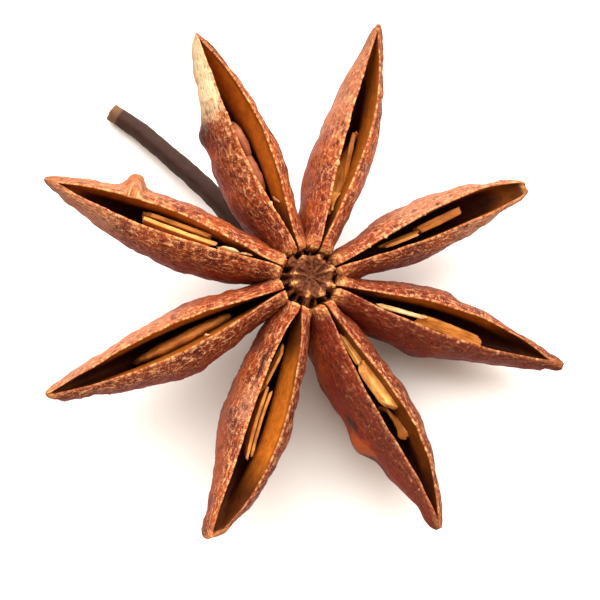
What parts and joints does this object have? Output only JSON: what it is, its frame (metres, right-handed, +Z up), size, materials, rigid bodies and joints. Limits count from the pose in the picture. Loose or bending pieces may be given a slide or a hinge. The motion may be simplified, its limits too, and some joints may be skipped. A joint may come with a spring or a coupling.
{
  "type": "star anise pod",
  "caption": "Dried star-shaped spice pod: boat-shaped seed cases round a short core, split open along the top, with seeds and papery splinters inside and a bent stalk below.",
  "frame": {"origin": "on the table, under the middle of the pod's outer box", "axes": "+Z up as the pod rests; +X and +Y along the table, with the stalk pointing towards -X +Y"},
  "size_m": [0.0322, 0.0324, 0.0135],
  "materials": {
    "husk": "dried woody fruit skin, reddish brown, rough and finely wrinkled outside, smooth orange-brown inside",
    "seed": "smooth, slightly glossy ochre brown",
    "splinter": "dry papery tan splinters of the inner skin"
  },
  "bodies": {
    "root": {"pod": "husk", "seed_b1": "seed", "seed_b2": "seed", "seed_d": "seed", "seed_h": "seed", "splinter_a1": "splinter", "splinter_a2": "splinter", "splinter_a3": "splinter", "splinter_c1": "splinter", "splinter_c2": "splinter", "splinter_d": "splinter", "splinter_e1": "splinter", "splinter_e2": "splinter", "splinter_f1": "splinter", "splinter_f2": "splinter", "splinter_f3": "splinter", "splinter_g1": "splinter", "splinter_g2": "splinter", "splinter_g3": "splinter"}
  },
  "joints": []
}
